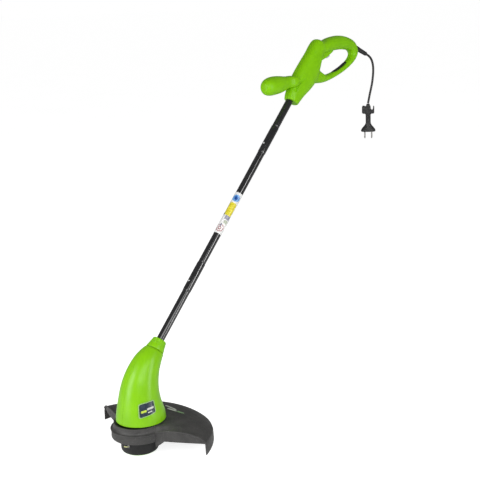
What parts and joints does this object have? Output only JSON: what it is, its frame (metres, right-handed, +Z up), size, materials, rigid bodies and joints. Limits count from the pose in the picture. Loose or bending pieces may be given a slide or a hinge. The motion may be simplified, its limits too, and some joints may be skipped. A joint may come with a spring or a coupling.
{
  "type": "string trimmer",
  "caption": "Corded string trimmer with bent motor head, domed guard, bump-feed line spool, jointed tube shaft, loop handle with trigger, front bulb handle and short lead with plug.",
  "frame": {"origin": "centre of the bump knob's flat foot", "axes": "+Z up along the axis the spool spins about, +Y towards the user along the rising shaft, X across, X = 0 is the plane of symmetry"},
  "size_m": [0.3296, 1.01, 0.8749],
  "materials": {
    "lime": "moulded, satin sheen",
    "guard_grey": "moulded, fine grain",
    "black": "moulded, satin",
    "tube_black": "gloss powder coat",
    "rubber": "soft, satin",
    "badge": "printed badge, plain",
    "steel": "bright",
    "iron": "laminated, varnished",
    "copper": "bright copper",
    "carbon": "sintered carbon",
    "line": "nylon monofilament",
    "label": null,
    "grey": "moulded"
  },
  "bodies": {
    "trimmer": {"motor_housing_left": "lime", "motor_housing_right": "lime", "neck_sleeve": "lime", "badge_plate": "badge", "motor_field": "iron", "carbon_brush_1": "carbon", "carbon_brush_2": "carbon", "bearing_lower": "steel", "bearing_upper": "steel", "motor_base": "black", "motor_end_cap": "black", "guard": "guard_grey", "line_cutter": "steel", "tube_lower": "tube_black", "tube_middle": "tube_black", "tube_upper": "tube_black", "label_sleeve": "label", "shaft_cable": "rubber", "handle_left": "lime", "handle_right": "lime", "front_handle": "lime", "trigger_pin": "steel", "trigger_spring": "steel", "switch_body": "black", "strain_relief": "rubber", "mains_cord": "rubber", "plug_body": "rubber", "plug_pin_1": "steel", "plug_pin_2": "steel"},
    "spindle": {"motor_shaft": "steel", "armature": "iron", "commutator": "copper", "cooling_fan": "black", "spool_hub": "black", "spool_cover": "black", "line_eyelet_1": "steel", "line_eyelet_2": "steel", "cutting_line_1": "line", "cutting_line_2": "line", "feed_spring": "steel"},
    "bump": {"bump_knob": "lime"},
    "spool": {"line_spool": "grey", "line_winding": "line"},
    "latch_1": {"cover_latch_1": "black"},
    "latch_2": {"cover_latch_2": "black"},
    "trigger": {"trigger": "lime"},
    "plunger": {"switch_plunger": "grey"},
    "button_1": {"tube_button_1": "steel"},
    "button_2": {"tube_button_2": "steel"}
  },
  "joints": [
    {"name": "spool_spin", "type": "hinge", "parent": "trimmer", "child": "spindle", "pos_m": [0, 0, 0], "axis": [0, 0, 1], "continuous": true},
    {"name": "bump_feed", "type": "slide", "parent": "spindle", "child": "bump", "axis": [0, 0, 1], "range_m": [0, 0.0025], "stiffness_N_per_m": 2500, "springref_m": -0.003, "deforming": ["feed_spring"]},
    {"name": "line_feed", "type": "hinge", "parent": "bump", "child": "spool", "pos_m": [0, 0, 0], "axis": [0, 0, 1], "continuous": true},
    {"name": "latch_press_1", "type": "slide", "parent": "spindle", "child": "latch_1", "axis": [-0.8192, -0.5736, 0], "range_m": [0, 0.0012], "stiffness_N_per_m": 1500, "springref_m": -0.001},
    {"name": "latch_press_2", "type": "slide", "parent": "spindle", "child": "latch_2", "axis": [0.8192, 0.5736, 0], "range_m": [0, 0.0012], "stiffness_N_per_m": 1500, "springref_m": -0.001},
    {"name": "trigger_squeeze", "type": "hinge", "parent": "trimmer", "child": "trigger", "pos_m": [0, 0.7, 0.844], "axis": [1, 0, 0], "range_deg": [0, 4.5], "stiffness_Nm_per_rad": 1.2, "springref_deg": -8.59, "deforming": ["trigger_spring"]},
    {"name": "switch_press", "type": "slide", "parent": "trimmer", "child": "plunger", "axis": [0, 0, 1], "range_m": [0, 0.0025]},
    {"name": "tube_button_press_1", "type": "slide", "parent": "trimmer", "child": "button_1", "axis": [0, 0.7071, -0.7071], "range_m": [0, 0.0025], "stiffness_N_per_m": 1500, "springref_m": -0.002},
    {"name": "tube_button_press_2", "type": "slide", "parent": "trimmer", "child": "button_2", "axis": [0, 0.7071, -0.7071], "range_m": [0, 0.0025], "stiffness_N_per_m": 1500, "springref_m": -0.002}
  ],
  "couplings": [
    {"joint": "switch_press", "follows": "trigger_squeeze", "m_per_rad": 0.0262}
  ]
}
